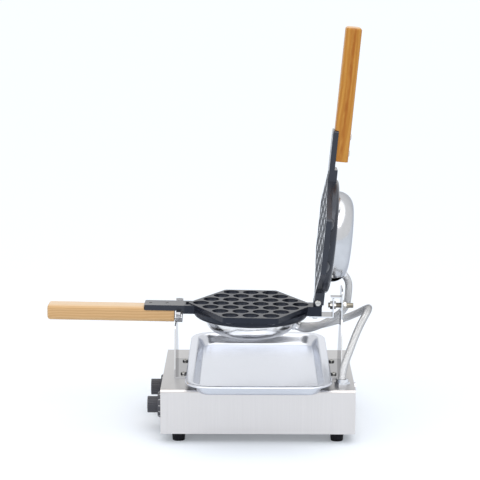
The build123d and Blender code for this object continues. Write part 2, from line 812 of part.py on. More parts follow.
def cover(seat, arch_angle, gland_planes):
    arch_x, arch_y = on_ring(50, arch_angle)
    facing = seat.from_local_coords(Vector(*on_ring(1, arch_angle), 0)) - seat.origin
    arch_plane = Plane(
        origin=seat.from_local_coords(Vector(arch_x, arch_y, pan_depth + cover_sheet + arch_sill)),
        x_dir=facing.cross(seat.z_dir),
        z_dir=facing,
    )
    up = 1 if (arch_plane.y_dir - seat.z_dir).length < 1 else -1
    with BuildPart() as piece:
        revolve(cover_section(seat), axis=Axis(seat.origin, seat.z_dir))
        with BuildSketch(seat.offset(pan_depth)):
            for angle in cover_screw_angles:
                place = on_ring((cover_radius + cover_lug_reach) / 2, angle)
                with Locations(Location((place[0], place[1], 0), (0, 0, angle))):
                    Rectangle(cover_lug_reach - cover_radius, cover_lug_width)
        extrude(amount=cover_sheet)
        with BuildSketch(arch_plane):
            with Locations((0, up * (arch_depth - arch_width / 2) / 2)):
                Rectangle(arch_width, arch_depth - arch_width / 2)
            with Locations((0, up * (arch_depth - arch_width / 2))):
                Circle(arch_width / 2)
            with Locations((0, -up * arch_width)):
                Rectangle(2 * arch_width, 2 * arch_width, mode=Mode.SUBTRACT)
        extrude(amount=40, mode=Mode.SUBTRACT)
        for plane in gland_planes:
            with BuildSketch(plane):
                Circle(cover_thread_radius)
            extrude(amount=6, both=True, mode=Mode.SUBTRACT)
        with BuildSketch(seat.offset(pan_depth)):
            with Locations(*[on_ring(cover_screw_ring, angle) for angle in cover_screw_angles]):
                Circle(1.5)
        extrude(amount=cover_sheet, mode=Mode.SUBTRACT)
    return piece


def cover_glands(gland_planes):
    with BuildPart() as group:
        for plane in gland_planes:
            add(gland(plane.offset(0.8), cover_gland_flats, cover_gland_height, cover_thread_radius, 5, 3).part)
    return group


def pan_set(seat, is_lid, arch_angle, gland_planes, word):
    save(casting(seat, is_lid, arch_angle), word + "_pan")
    save(handle(seat, upper_handle_length if is_lid else lower_handle_length), word + "_handle")
    screw_planes = [spot(seat, x, 0, handle_screw_seat) for x in handle_screw_places]
    save(placed(screw(handle_screw_radius, 4.8, 3.2, handle_screw_seat - tang_top - 0.5), screw_planes),
         word + "_handle_screws")
    save(heater(seat, arch_angle), word + "_heater")
    plates, plate_screws = clamps(seat, arch_angle)
    save(plates, word + "_clamps")
    save(plate_screws, word + "_clamp_screws")
    save(cover(seat, arch_angle, gland_planes), word + "_cover")
    lug_planes = [spot(seat, *on_ring(cover_screw_ring, angle), pan_depth + cover_sheet) for angle in cover_screw_angles]
    save(placed(screw(1.5, 2.9, 1.8, 7), lug_planes), word + "_cover_screws")
    save(cover_glands(gland_planes), word + "_cover_glands")
    stud_x, stud_y = on_ring(earth_stud_ring, arch_angle)
    with BuildPart() as stud:
        with BuildSketch(seat.offset(pan_back_wall - 2)):
            with Locations((stud_x, stud_y)):
                Circle(2)
        extrude(amount=earth_stud_length)
        with BuildSketch(seat.offset(pan_back_wall + 5)):
            with Locations((stud_x, stud_y)):
                RegularPolygon(earth_nut_flats / 2, 6, major_radius=False)
        extrude(amount=earth_nut_height)
    save(stud, word + "_earth_stud")


lower_glands = [shoulder_plane(lower_seat, angle, cover_gland_tilt_lower) for angle in cover_gland_angles_lower]
lid_glands = [shoulder_plane(lid_seat, cover_gland_angle_lid, cover_gland_tilt_lid)]
pan_set(lower_seat, False, arch_angle_lower, lower_glands, "lower")
pan_set(lid_seat, True, arch_angle_lid, lid_glands, "upper")

# Hinge pin through the lid's ears and the lower pan's lug
pin_head = lid_seat.from_local_coords(Vector(-hinge_reach, rear_neck_width / 2, lid_hinge_depth))
pin_plane = Plane(origin=pin_head, x_dir=lid_seat.x_dir, z_dir=lid_seat.y_dir)
pin_nut_height = 4.0
save(placed(screw(pin_radius, 5, 3, rear_neck_width + pin_nut_height + 1), [pin_plane]), "hinge_pin")
pin_end = pin_plane.offset(-rear_neck_width - pin_nut_height)
save(placed(nut(10, pin_nut_height, pin_radius), [pin_end]), "hinge_nut")

# Strap under the rear neck, turned up as the leg that carries the axle
strap_top = rear_neck_depth
strap_bottom = strap_top + strap_sheet
with BuildPart() as swivel_strap:
    with BuildSketch(section(lower_seat)):
        with BuildLine():
            Polyline(
                (-strap_start, strap_top),
                (-leg_reach, strap_top),
                (-leg_reach, -leg_top),
                (-leg_reach - strap_sheet, -leg_top),
                (-leg_reach - strap_sheet, strap_bottom),
                (-strap_start, strap_bottom),
                close=True,
            )
        make_face()
        fillet(vertices().sort_by_distance((-leg_reach - strap_sheet, strap_bottom, 0))[0], 3)
    extrude(amount=strap_width / 2, both=True)
    # The far side of the leg is cut back and rounded so that it turns under the stop
    with BuildSketch(across(lower_seat, -leg_reach)):
        with Locations((-(leg_far_half + strap_width / 2) / 2, 0)):
            Rectangle(strap_width / 2 - leg_far_half, 2 * leg_top)
    extrude(amount=-strap_sheet, mode=Mode.SUBTRACT)
    far_corner = lower_seat.from_local_coords(Vector(-leg_reach - strap_sheet / 2, leg_far_half, -leg_top))
    far_edge = edges().filter_by(Axis(lower_seat.origin, lower_seat.x_dir)).sort_by_distance(far_corner)[0]
    fillet(far_edge, leg_far_half - 0.5)
    with BuildSketch(lower_seat.offset(strap_bottom)):
        with Locations(*[(-strap_screw_x, side * strap_screw_pitch / 2) for side in (-1, 1)]):
            Circle(2.5)
    extrude(amount=-strap_sheet, mode=Mode.SUBTRACT)
    with BuildSketch(across(lower_seat, -leg_reach - strap_sheet)):
        Circle(stud_radius)
    extrude(amount=strap_sheet, mode=Mode.SUBTRACT)
save(swivel_strap, "swivel_strap")
strap_planes = [spot(lower_seat, -strap_screw_x, side * strap_screw_pitch / 2, strap_bottom) for side in (-1, 1)]
save(placed(screw(2.5, 4.5, 3, 11), strap_planes), "strap_screws")


# Axle stud along the swivel axis, its nuts and washer
def axle_plane(reach):
    return across(lower_seat, -reach)


with BuildPart() as axle_stud:
    with BuildSketch(axle_plane(stud_start)):
        Circle(stud_radius)
    extrude(amount=-stud_length)
save(axle_stud, "axle_stud")
upright_back = upright_reach + upright_sheet
end_nut_reach = upright_back + bush_flange + end_nut_gap + washer_sheet + nut_height
axle_nuts = placed(
    nut(nut_flats, nut_height, stud_radius),
    [axle_plane(leg_reach), axle_plane(leg_reach + strap_sheet + nut_height), axle_plane(end_nut_reach)],
)
save(axle_nuts, "axle_nuts")
with BuildPart() as axle_washer:
    with BuildSketch(axle_plane(end_nut_reach - nut_height)):
        Circle(washer_radius)
        Circle(stud_radius, mode=Mode.SUBTRACT)
    extrude(amount=washer_sheet)
save(axle_washer, "axle_washer")
with BuildPart() as axle_bush:
    with BuildSketch(axle_plane(upright_back)):
        Circle(bush_radius)
    extrude(amount=upright_sheet)
    with BuildSketch(axle_plane(upright_back + bush_flange)):
        Circle(bush_flange_radius)
    extrude(amount=bush_flange)
    with BuildSketch(axle_plane(upright_back + bush_flange)):
        Circle(stud_radius + running_gap)
    extrude(amount=bush_flange + upright_sheet, mode=Mode.SUBTRACT)
save(axle_bush, "axle_bush")

# Rear upright: its plate stands square to the swivel axis
axis_height = lower_seat.from_local_coords(Vector(-upright_reach, 0, 0)).Z
foot_drop = (axis_height - base_top) / math.cos(droop)
with BuildPart() as rear_upright:
    with BuildSketch(axle_plane(upright_back)):
        with BuildLine():
            Polyline(
                (-upright_half_foot, -foot_drop),
                (-upright_half_foot, -foot_drop + 14),
                (-rear_top_half, -rear_shoulder),
                (-rear_top_half, rear_top),
                (rear_top_half, rear_top),
                (rear_top_half, -rear_shoulder),
                (upright_half_foot, -foot_drop + 14),
                (upright_half_foot, -foot_drop),
                close=True,
            )
        make_face()
        fillet(vertices().group_by(Axis.Y)[-1], upright_corner)
        Circle(bush_radius, mode=Mode.SUBTRACT)
    extrude(amount=upright_sheet)
    # Foot turned in under the pan
    foot_end = pan_x + upright_reach + upright_sheet - 0.4
    with BuildSketch(top_plane):
        with Locations((foot_end - upright_foot_run / 2 - 1, 0)):
            Rectangle(upright_foot_run + 2, 2 * upright_half_foot)
        fillet(vertices().group_by(Axis.X)[0], upright_corner)
        with Locations(*[(rear_screw_x, side * upright_screw_half_pitch) for side in (-1, 1)]):
            Circle(2.5, mode=Mode.SUBTRACT)
    extrude(amount=upright_sheet)
    split(bisect_by=top_plane, keep=Keep.TOP)
    # Stop over the leg
    with BuildSketch(axle_plane(upright_back)):
        with Locations((stop_tab_near - stop_tab_width / 2, stop_tab_rise + 1)):
            Rectangle(stop_tab_width, 2)
    extrude(amount=upright_sheet + stop_tab_length)
save(rear_upright, "rear_upright")

# Front upright: hollowed on top for the runner, its foot turned in
cradle_x = front_upright_x
cradle_centre = lower_seat.from_local_coords(Vector(-(cradle_x - pan_x), 0, 0))
with BuildPart() as front_upright:
    with BuildSketch(Plane.YZ.offset(front_upright_x)):
        with BuildLine():
            Polyline(
                (-upright_half_foot, base_top),
                (-upright_half_foot, base_top + 14),
                (-front_top_half, front_top),
                (front_top_half, front_top),
                (upright_half_foot, base_top + 14),
                (upright_half_foot, base_top),
                close=True,
            )
        make_face()
        fillet(vertices().group_by(Axis.Y)[-1], upright_corner)
        with Locations((0, cradle_centre.Z)):
            Circle(cradle_radius + cradle_sheet + 0.3, mode=Mode.SUBTRACT)
    extrude(amount=upright_sheet)
    with BuildSketch(top_plane):
        with Locations((front_upright_x + (upright_foot_run + upright_sheet) / 2, 0)):
            Rectangle(upright_foot_run + upright_sheet, 2 * upright_half_foot)
        fillet(vertices().group_by(Axis.X)[-1], upright_corner)
        with Locations(*[(front_screw_x, side * upright_screw_half_pitch) for side in (-1, 1)]):
            Circle(2.5, mode=Mode.SUBTRACT)
    extrude(amount=upright_sheet)
save(front_upright, "front_upright")
screw_planes = [
    Plane.XY.move(Location((x, side * upright_screw_half_pitch, base_top + upright_sheet)))
    for x in (front_screw_x, rear_screw_x)
    for side in (-1, 1)
]
save(placed(screw(2.5, 4.6, 2.8, 10), screw_planes), "upright_screws")

# Cradle: a strip bent round the swivel axis with a flange towards the pan
cradle_plane = across(lower_seat, -(cradle_x - pan_x))
cradle_outer = cradle_radius + cradle_sheet
flange_inset = cradle_width - cradle_sheet
cradle_sweep = cradle_near_angle + cradle_far_angle
with BuildPart() as front_cradle:
    with BuildSketch(cradle_plane):
        Circle(cradle_outer)
        Circle(cradle_radius, mode=Mode.SUBTRACT)
    extrude(amount=-cradle_width)
    with BuildSketch(cradle_plane.offset(-flange_inset)):
        Circle(cradle_outer)
        Circle(cradle_flange_radius, mode=Mode.SUBTRACT)
    extrude(amount=-cradle_sheet)
    # Keep only the part of the ring below the pan
    with BuildSketch(cradle_plane):
        with BuildLine():
            fan = [(0, 0)]
            for turn in range(5):
                angle = math.radians(-90 - cradle_far_angle + cradle_sweep * turn / 4)
                fan.append((60 * math.cos(angle), 60 * math.sin(angle)))
            Polyline(*fan, close=True)
        make_face()
    extrude(amount=-cradle_width, mode=Mode.INTERSECT)
save(front_cradle, "front_cradle")

# Runner: a steel segment screwed under the tang that slides in the cradle
runner_radius = cradle_radius - turn_gap
with BuildPart() as cradle_runner:
    with BuildSketch(across(lower_seat, runner_start)):
        Circle(runner_radius)
        with Locations((0, runner_radius - tang_top - tang_depth)):
            Rectangle(2 * runner_radius, 2 * runner_radius, mode=Mode.SUBTRACT)
    extrude(amount=runner_width)
save(cradle_runner, "cradle_runner")


# Braided hoses: hand-chosen points, the bends as wide as the runs allow
def bend_radii(points):
    radii = []
    for before, here, after in zip(points, points[1:], points[2:]):
        first = Vector(*here) - Vector(*before)
        second = Vector(*after) - Vector(*here)
        half_turn = math.radians(first.get_angle(second)) / 2
        radii.append(0.45 * min(first.length, second.length) / math.tan(half_turn))
    print("bend radii", [round(radius, 1) for radius in radii])
    return radii


def hose(points):
    with BuildPart() as piece:
        with BuildLine() as route:
            FilletPolyline(*points, radius=bend_radii(points))
        with BuildSketch(Plane(origin=route.line @ 0, z_dir=route.line % 0)):
            Circle(hose_radius)
        sweep(path=route.line)
    return piece


def hose_end(plane, reach):
    point = plane.offset(reach).origin
    return (point.X, point.Y, point.Z)


gland_out = 0.8 + cover_gland_height
base_hose_points = [
    (gland_x, gland_y, base_top + gland_nut_height),
    (gland_x, gland_y, base_top + 24),
    (143, -80, 138),
    (157, -55, 167),
    (176, -24, 192),
    (176, 14, 184),
    (158, 52, 164),
    (128, 62, 150),
    (96, 58, 143),
    hose_end(lower_glands[0], gland_out + 14),
    hose_end(lower_glands[0], gland_out),
]
lid_hose_points = [
    hose_end(lid_glands[0], gland_out),
    hose_end(lid_glands[0], gland_out + 12),
    (146, 31, 204),
    (143, 38, 178),
    (122, 46, 158),
    (98, 36, 148),
    hose_end(lower_glands[1], gland_out + 12),
    hose_end(lower_glands[1], gland_out),
]
save(hose(base_hose_points), "hose_base")
save(hose(lid_hose_points), "hose_lid")
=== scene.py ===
import bpy
import bmesh
import math
from mathutils import Matrix, Vector


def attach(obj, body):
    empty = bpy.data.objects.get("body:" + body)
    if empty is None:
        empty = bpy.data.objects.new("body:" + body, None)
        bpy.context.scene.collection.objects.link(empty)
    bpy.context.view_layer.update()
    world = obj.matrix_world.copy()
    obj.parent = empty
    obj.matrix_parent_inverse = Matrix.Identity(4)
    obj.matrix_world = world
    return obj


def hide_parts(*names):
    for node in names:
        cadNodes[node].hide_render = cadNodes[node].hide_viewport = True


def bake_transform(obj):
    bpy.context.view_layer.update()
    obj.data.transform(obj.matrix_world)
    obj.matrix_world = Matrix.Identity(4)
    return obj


# Bubble waffle maker on a white sweep, lid open. Metres, +X to the swivel, +Z up.
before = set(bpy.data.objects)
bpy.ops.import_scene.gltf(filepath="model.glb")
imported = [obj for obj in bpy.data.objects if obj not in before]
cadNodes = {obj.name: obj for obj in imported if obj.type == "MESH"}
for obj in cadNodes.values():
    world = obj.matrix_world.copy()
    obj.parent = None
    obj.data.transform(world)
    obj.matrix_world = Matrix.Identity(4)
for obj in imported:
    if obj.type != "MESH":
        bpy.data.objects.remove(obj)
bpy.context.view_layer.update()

# Camera of the photograph: a long lens, a little above the pan
cameraSetup = {"lens": 128.3, "place": (-0.0102, -2.6605, 0.8047), "down": 10.813, "turn": 0.399, "roll": 0.081}

cameraData = bpy.data.cameras.new("photoCamera")
cameraData.lens = cameraSetup["lens"]
cameraData.sensor_width = 36
camera = bpy.data.objects.new("photoCamera", cameraData)
bpy.context.collection.objects.link(camera)
camera.matrix_world = (
    Matrix.Translation(cameraSetup["place"])
    @ Matrix.Rotation(math.radians(cameraSetup["turn"]), 4, "Z")
    @ Matrix.Rotation(math.radians(90 - cameraSetup["down"]), 4, "X")
    @ Matrix.Rotation(math.radians(cameraSetup["roll"]), 4, "Z")
)
bpy.context.scene.camera = camera
print("camera set")


# Small helpers for node trees
def newMaterial(name):
    material = bpy.data.materials.new(name)
    material.use_nodes = True
    return material, material.node_tree, material.node_tree.nodes["Principled BSDF"]


def addNode(tree, kind, **values):
    node = tree.nodes.new(kind)
    for key, value in values.items():
        if hasattr(node, key):
            setattr(node, key, value)
        else:
            node.inputs[key.replace("_", " ")].default_value = value
    return node


def newGroup(name, inputs, outputs):
    tree = bpy.data.node_groups.new(name, "ShaderNodeTree")
    for label, kind, value in inputs:
        socket = tree.interface.new_socket(name=label, in_out="INPUT", socket_type=kind)
        if value is not None:
            socket.default_value = value
    for label, kind in outputs:
        tree.interface.new_socket(name=label, in_out="OUTPUT", socket_type=kind)
    return tree, tree.nodes.new("NodeGroupInput"), tree.nodes.new("NodeGroupOutput")


def useGroup(tree, group, **values):
    node = tree.nodes.new("ShaderNodeGroup")
    node.node_tree = group
    for key, value in values.items():
        node.inputs[key].default_value = value
    return node


def rangeNode(tree, source, low, high, fromLow=0.3, fromHigh=0.7):
    node = addNode(tree, "ShaderNodeMapRange")
    node.inputs["From Min"].default_value = fromLow
    node.inputs["From Max"].default_value = fromHigh
    node.inputs["To Min"].default_value = low
    node.inputs["To Max"].default_value = high
    tree.links.new(source, node.inputs["Value"])
    return node.outputs["Result"]


def mixColors(tree, factor, first, second):
    node = addNode(tree, "ShaderNodeMix", data_type="RGBA")
    tree.links.new(factor, node.inputs[0])
    for socket, value in ((node.inputs[6], first), (node.inputs[7], second)):
        if hasattr(value, "is_output"):
            tree.links.new(value, socket)
        else:
            socket.default_value = (*value, 1.0)
    return node.outputs[2]


def bumpNode(tree, source, shader, strength, distance):
    node = addNode(tree, "ShaderNodeBump", Strength=strength, Distance=distance)
    tree.links.new(source, node.inputs["Height"])
    tree.links.new(node.outputs["Normal"], shader.inputs["Normal"])


# 0 on walls and rising to level on faces that look up: the mask that lays painted shade and painted light on
# up-facing faces
def paintedTopMask(tree, coords, level, span):
    facing = addNode(tree, "ShaderNodeSeparateXYZ")
    tree.links.new(coords.outputs["Normal"], facing.inputs[0])
    return rangeNode(tree, facing.outputs["Z"], 0.0, level, *span)


# 1 for rays of the camera and of shiny or clear surfaces, 0 for the rest
def seenRays(tree):
    rays = addNode(tree, "ShaderNodeLightPath")
    seen = rays.outputs["Is Camera Ray"]
    for kind in ("Is Glossy Ray", "Is Transmission Ray"):
        either = addNode(tree, "ShaderNodeMath", operation="MAXIMUM")
        tree.links.new(seen, either.inputs[0])
        tree.links.new(rays.outputs[kind], either.inputs[1])
        seen = either.outputs[0]
    return seen


# Fine lines of a brushed or drawn surface, with slow cloudy changes over them
def makeBrushGroup():
    tree, start, end = newGroup(
        "brushLines",
        [("Vector", "NodeSocketVector", None), ("Cloud", "NodeSocketFloat", 9.0)],
        [("Lines", "NodeSocketFloat"), ("Clouds", "NodeSocketFloat")],
    )
    link = tree.links.new
    fine = addNode(tree, "ShaderNodeTexNoise", Scale=1.0, Detail=3.0, Roughness=0.65)
    coarse = addNode(tree, "ShaderNodeTexNoise", Detail=4.0, Roughness=0.55)
    link(start.outputs["Vector"], fine.inputs["Vector"])
    link(fine.outputs["Fac"], end.inputs["Lines"])
    coords = addNode(tree, "ShaderNodeTexCoord")
    link(coords.outputs["Object"], coarse.inputs["Vector"])
    link(start.outputs["Cloud"], coarse.inputs["Scale"])
    link(coarse.outputs["Fac"], end.inputs["Clouds"])
    return tree


# Tiny grain of a cast or moulded surface
def makeGrainGroup():
    tree, start, end = newGroup(
        "castGrain",
        [("Scale", "NodeSocketFloat", 900.0), ("Patch", "NodeSocketFloat", 14.0)],
        [("Grain", "NodeSocketFloat"), ("Patches", "NodeSocketFloat")],
    )
    link = tree.links.new
    coords = addNode(tree, "ShaderNodeTexCoord")
    fine = addNode(tree, "ShaderNodeTexNoise", Detail=4.0, Roughness=0.7)
    patch = addNode(tree, "ShaderNodeTexNoise", Detail=5.0, Roughness=0.6)
    link(coords.outputs["Object"], fine.inputs["Vector"])
    link(coords.outputs["Object"], patch.inputs["Vector"])
    link(start.outputs["Scale"], fine.inputs["Scale"])
    link(start.outputs["Patch"], patch.inputs["Scale"])
    link(fine.outputs["Fac"], end.inputs["Grain"])
    link(patch.outputs["Fac"], end.inputs["Patches"])
    return tree


# Growth lines, fibres and pores of a straight-grained board, its length along the vector's X.
# The heart is a streak about the plane Z = heartPlace that slow noise breaks up.
boardSetup = {
    "bend": (0.0, 0.005, 0.008), "fibre": (14.0, 700.0, 700.0), "fleck": (110.0, 900.0, 900.0),
    "heartPlace": 0.004, "heartWidth": (0.0005, 0.0060), "patch": (26.0, 160.0, 160.0),
    "patchRange": (0.36, 0.60), "patchFloor": 0.15,
}


def stretchNode(tree, source, factors):
    node = addNode(tree, "ShaderNodeVectorMath", operation="MULTIPLY")
    node.inputs[1].default_value = factors
    tree.links.new(source, node.inputs[0])
    return node.outputs[0]


def makeWoodGroup(look):
    tree, start, end = newGroup(
        "woodGrain",
        [("Vector", "NodeSocketVector", None), ("Rings", "NodeSocketFloat", 60.0)],
        [("Rings", "NodeSocketFloat"), ("Fibres", "NodeSocketFloat"), ("Flecks", "NodeSocketFloat"),
         ("Heart", "NodeSocketFloat")],
    )
    link = tree.links.new
    bend = addNode(tree, "ShaderNodeTexNoise", Scale=7.0, Detail=2.0)
    link(start.outputs["Vector"], bend.inputs["Vector"])
    shift = addNode(tree, "ShaderNodeVectorMath", operation="MULTIPLY_ADD")
    shift.inputs[1].default_value = look["bend"]
    link(bend.outputs["Color"], shift.inputs[0])
    link(start.outputs["Vector"], shift.inputs[2])
    rings = addNode(tree, "ShaderNodeTexWave", wave_type="RINGS", rings_direction="X", Distortion=2.0, Detail=2.0)
    rings.inputs["Detail Scale"].default_value = 0.3
    link(shift.outputs[0], rings.inputs["Vector"])
    link(start.outputs["Rings"], rings.inputs["Scale"])
    fibres = addNode(tree, "ShaderNodeTexNoise", Scale=1.0, Detail=3.0, Roughness=0.6)
    link(stretchNode(tree, start.outputs["Vector"], look["fibre"]), fibres.inputs["Vector"])
    flecks = addNode(tree, "ShaderNodeTexVoronoi", Scale=1.0)
    link(stretchNode(tree, start.outputs["Vector"], look["fleck"]), flecks.inputs["Vector"])
    across = addNode(tree, "ShaderNodeSeparateXYZ")
    link(shift.outputs[0], across.inputs[0])
    centre = addNode(tree, "ShaderNodeMath", operation="SUBTRACT")
    centre.inputs[1].default_value = look["heartPlace"]
    link(across.outputs["Z"], centre.inputs[0])
    width = addNode(tree, "ShaderNodeMath", operation="ABSOLUTE")
    link(centre.outputs[0], width.inputs[0])
    heart = addNode(tree, "ShaderNodeMapRange", interpolation_type="SMOOTHSTEP")
    heart.inputs["From Min"].default_value = look["heartWidth"][0]
    heart.inputs["From Max"].default_value = look["heartWidth"][1]
    heart.inputs["To Min"].default_value = 1.0
    heart.inputs["To Max"].default_value = 0.0
    link(width.outputs[0], heart.inputs["Value"])
    patches = addNode(tree, "ShaderNodeTexNoise", Scale=1.0, Detail=3.0, Roughness=0.6)
    link(stretchNode(tree, start.outputs["Vector"], look["patch"]), patches.inputs["Vector"])
    present = rangeNode(tree, patches.outputs["Fac"], look["patchFloor"], 1.0, *look["patchRange"])
    broken = addNode(tree, "ShaderNodeMath", operation="MULTIPLY")
    link(heart.outputs["Result"], broken.inputs[0])
    link(present, broken.inputs[1])
    link(broken.outputs[0], end.inputs["Heart"])
    link(rings.outputs["Fac"], end.inputs["Rings"])
    link(fibres.outputs["Fac"], end.inputs["Fibres"])
    link(flecks.outputs["Distance"], end.inputs["Flecks"])
    return tree


brushGroup = makeBrushGroup()
grainGroup = makeGrainGroup()
woodGroup = makeWoodGroup(boardSetup)


# Sheet steel, drawn, brushed or polished. stretch sets which way the lines run; a look without a top tone is the same
# on all its faces. A top tone is painted shade on faces that look up, and painted light on the tray's floor
metalSetup = {"cloudDark": 0.86, "paintedTopRamp": (0.8, 0.97), "bumpDistance": 0.0002}


def metalMaterial(name, look):
    material, tree, shader = newMaterial(name)
    coords = addNode(tree, "ShaderNodeTexCoord")
    mapping = addNode(tree, "ShaderNodeMapping")
    mapping.inputs["Scale"].default_value = look["stretch"]
    tree.links.new(coords.outputs["Object"], mapping.inputs["Vector"])
    group = useGroup(tree, brushGroup, Cloud=look["cloud"])
    tree.links.new(mapping.outputs["Vector"], group.inputs["Vector"])
    lineShade = rangeNode(tree, group.outputs["Lines"], 0.0, 1.0)
    color = mixColors(tree, lineShade, look["dark"], look["light"])
    cloudShade = rangeNode(tree, group.outputs["Clouds"], look["cloudShade"], 1.0)
    tinted = mixColors(tree, cloudShade, tuple(part * metalSetup["cloudDark"] for part in look["dark"]), color)
    shader.inputs["Specular Tint"].default_value = (*look["edge"], 1)
    if "top" in look:
        # Painted shade: faces that look up get a darker tone (the tray a lighter one, painted light) and keep a white
        # edge
        paintedTopRamp = paintedTopMask(tree, coords, look["topShade"], metalSetup["paintedTopRamp"])
        tinted = mixColors(tree, paintedTopRamp, tinted, look["top"])
        edge = mixColors(tree, paintedTopRamp, look["edge"], (1.0, 1.0, 1.0))
        tree.links.new(edge, shader.inputs["Specular Tint"])
    tree.links.new(tinted, shader.inputs["Base Color"])
    rough = rangeNode(tree, group.outputs["Clouds"], look["rough"][0], look["rough"][1])
    tree.links.new(rough, shader.inputs["Roughness"])
    shader.inputs["Metallic"].default_value = 1.0
    if look["bump"] > 0:
        bumpNode(tree, group.outputs["Lines"], shader, look["bump"], metalSetup["bumpDistance"])
    return material


# The top tones of these looks are painted: mostly painted shade, and painted light on the tray
brushedLook = {
    "stretch": (700, 9, 9), "cloud": 6.0, "dark": (0.675, 0.65, 0.64), "light": (0.705, 0.68, 0.67),
    "cloudShade": 0.9, "rough": (0.30, 0.36), "bump": 0.015, "top": (0.54, 0.535, 0.54), "topShade": 1.0,
    "edge": (0.9, 0.9, 0.9),
}
polishedLook = {
    "stretch": (60, 60, 60), "cloud": 16.0, "dark": (0.70, 0.71, 0.73), "light": (0.78, 0.79, 0.81),
    "cloudShade": 0.9, "rough": (0.05, 0.10), "bump": 0.0, "top": (0.30, 0.30, 0.31), "topShade": 0.9,
    "edge": (0.5, 0.5, 0.51),
}
trayLook = {
    "stretch": (14, 400, 400), "cloud": 7.0, "dark": (0.62, 0.64, 0.69), "light": (0.67, 0.69, 0.74),
    "cloudShade": 0.9, "rough": (0.21, 0.27), "bump": 0.0, "top": (0.71, 0.74, 0.81), "topShade": 1.0,
    "edge": (0.85, 0.86, 0.88),
}
domeLook = {
    "stretch": (30, 30, 30), "cloud": 10.0, "dark": (0.54, 0.55, 0.57), "light": (0.64, 0.65, 0.675),
    "cloudShade": 0.7, "rough": (0.14, 0.24), "bump": 0.0,
    "edge": (0.6, 0.61, 0.64),
}
# Painted light: the lower cover gets a lighter copy of the upper cover's dome finish
domeLookPaintedLight = {**domeLook, "dark": (0.76, 0.76, 0.76), "light": (0.90, 0.90, 0.90), "edge": (0.8, 0.8, 0.82)}
zincLook = {
    "stretch": (300, 300, 300), "cloud": 60.0, "dark": (0.52, 0.51, 0.48), "light": (0.74, 0.73, 0.71),
    "cloudShade": 0.5, "rough": (0.16, 0.34), "bump": 0.05, "top": (0.3, 0.3, 0.3), "topShade": 0.4,
    "edge": (0.6, 0.6, 0.58),
}
nickelLook = {
    "stretch": (200, 200, 200), "cloud": 50.0, "dark": (0.72, 0.73, 0.75), "light": (0.84, 0.85, 0.88),
    "cloudShade": 0.6, "rough": (0.18, 0.26), "bump": 0.03, "top": (0.4, 0.4, 0.4), "topShade": 0.2,
    "edge": (0.6, 0.6, 0.6),
}
satinLook = {**nickelLook, "rough": (0.45, 0.55)}
brassLook = {
    "stretch": (900, 40, 40), "cloud": 60.0, "dark": (0.16, 0.14, 0.11), "light": (0.50, 0.46, 0.38),
    "cloudShade": 0.4, "rough": (0.28, 0.45), "bump": 0.2, "top": (0.3, 0.28, 0.24), "topShade": 0.2,
    "edge": (0.5, 0.48, 0.42),
}
heaterLook = {
    "stretch": (90, 90, 90), "cloud": 40.0, "dark": (0.12, 0.115, 0.11), "light": (0.30, 0.27, 0.25),
    "cloudShade": 0.4, "rough": (0.40, 0.60), "bump": 0.1,
    "edge": (0.5, 0.5, 0.5),
}
metalLooks = {
    "brushedSteel": brushedLook, "polishedSteel": polishedLook, "domeAluminium": domeLook,
    "domeAluminiumPaintedLight": domeLookPaintedLight, "zincSteel": zincLook, "nickelPlate": nickelLook, "satinPlate": satinLook,
    "dullBrass": brassLook, "heaterSheath": heaterLook,
}
for name, look in metalLooks.items():
    metalMaterial(name, look)
traySteel = metalMaterial("traySteel", trayLook)


# Coated, moulded and rubber surfaces
grainySetup = {"coatRough": 0.25, "bumpDistance": 0.0003}


def grainyMaterial(name, look):
    material, tree, shader = newMaterial(name)
    group = useGroup(tree, grainGroup, Scale=look["scale"], Patch=look["patch"])
    patches = rangeNode(tree, group.outputs["Patches"], 0.0, 1.0)
    base = mixColors(tree, patches, look["dark"], look["light"])
    grain = rangeNode(tree, group.outputs["Grain"], 0.0, look["speck"])
    color = mixColors(tree, grain, base, look["fleck"])
    tree.links.new(color, shader.inputs["Base Color"])
    rough = rangeNode(tree, group.outputs["Patches"], look["rough"][0], look["rough"][1])
    tree.links.new(rough, shader.inputs["Roughness"])
    shader.inputs["Specular IOR Level"].default_value = look["shine"]
    shader.inputs["Specular Tint"].default_value = (*look.get("tint", (1, 1, 1)), 1)
    shader.inputs["Coat Weight"].default_value = look["coat"]
    shader.inputs["Coat Roughness"].default_value = grainySetup["coatRough"]
    bumpNode(tree, group.outputs["Grain"], shader, look["bump"], grainySetup["bumpDistance"])
    return material


coatingLook = {
    "scale": 1100, "patch": 20,
    "dark": (0.006, 0.007, 0.012), "light": (0.010, 0.012, 0.019), "fleck": (0.022, 0.025, 0.038),
    "speck": 0.5, "rough": (0.27, 0.35), "shine": 0.36, "coat": 0.0, "bump": 0.10, "tint": (0.76, 0.84, 1.0),
}
rubberLook = {
    "scale": 700, "patch": 60,
    "dark": (0.006, 0.006, 0.008), "light": (0.011, 0.011, 0.014), "fleck": (0.025, 0.025, 0.03),
    "speck": 0.4, "rough": (0.5, 0.7), "shine": 0.12, "coat": 0.0, "bump": 0.3,
}
knobLook = {
    "scale": 900, "patch": 50,
    "dark": (0.042, 0.042, 0.054), "light": (0.056, 0.056, 0.070), "fleck": (0.10, 0.10, 0.11),
    "speck": 0.4, "rough": (0.38, 0.5), "shine": 0.5, "coat": 0.0, "bump": 0.25,
}
insulatorLook = {
    "scale": 500, "patch": 40,
    "dark": (0.045, 0.043, 0.04), "light": (0.07, 0.067, 0.06), "fleck": (0.11, 0.10, 0.09),
    "speck": 0.5, "rough": (0.45, 0.6), "shine": 0.5, "coat": 0.0, "bump": 0.2,
}
